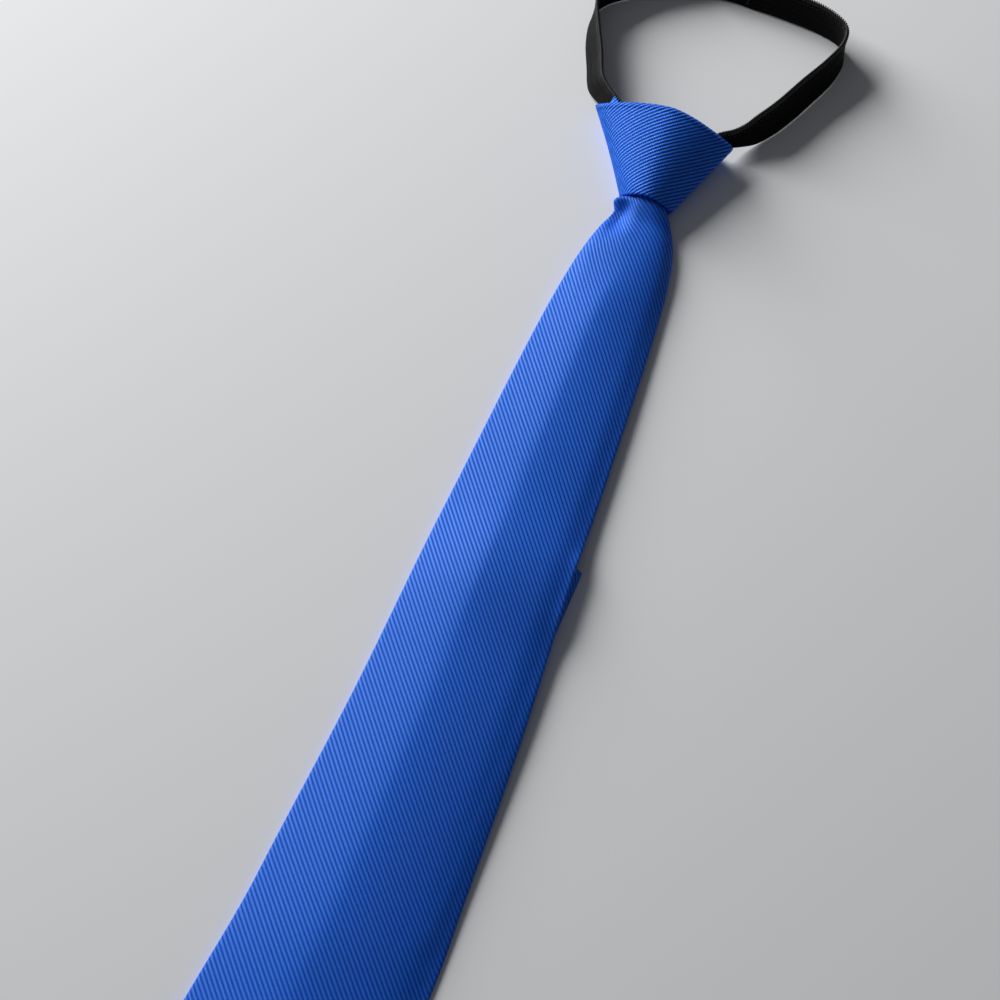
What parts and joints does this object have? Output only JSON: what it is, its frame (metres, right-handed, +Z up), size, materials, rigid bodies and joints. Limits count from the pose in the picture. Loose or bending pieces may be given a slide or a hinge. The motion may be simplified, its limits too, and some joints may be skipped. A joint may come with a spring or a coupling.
{
  "type": "zipper tie",
  "caption": "Ready-made zipper tie lying flat: hollow knot, wide pointed blade, narrow tail behind it, and a neck loop of two zip tapes that part at a slider in the knot.",
  "frame": {"origin": "middle of the tie's outline, on the surface that it lies on", "axes": "+Y from the blade's tip to the neck loop, +X to the right of the face, +Z up out of the face"},
  "size_m": [0.1064, 0.569, 0.0211],
  "materials": {
    "tie_cloth": "satin",
    "zip_tape": "matte",
    "zip_coil": "satin",
    "zip_slider": "satin"
  },
  "bodies": {
    "root": {"front_blade": "tie_cloth", "knot": "tie_cloth", "tail_blade": "tie_cloth", "zip_tape_left": "zip_tape", "zip_tape_right": "zip_tape", "zip_coil_left": "zip_coil", "zip_coil_right": "zip_coil", "zip_slider": "zip_slider"}
  },
  "joints": []
}
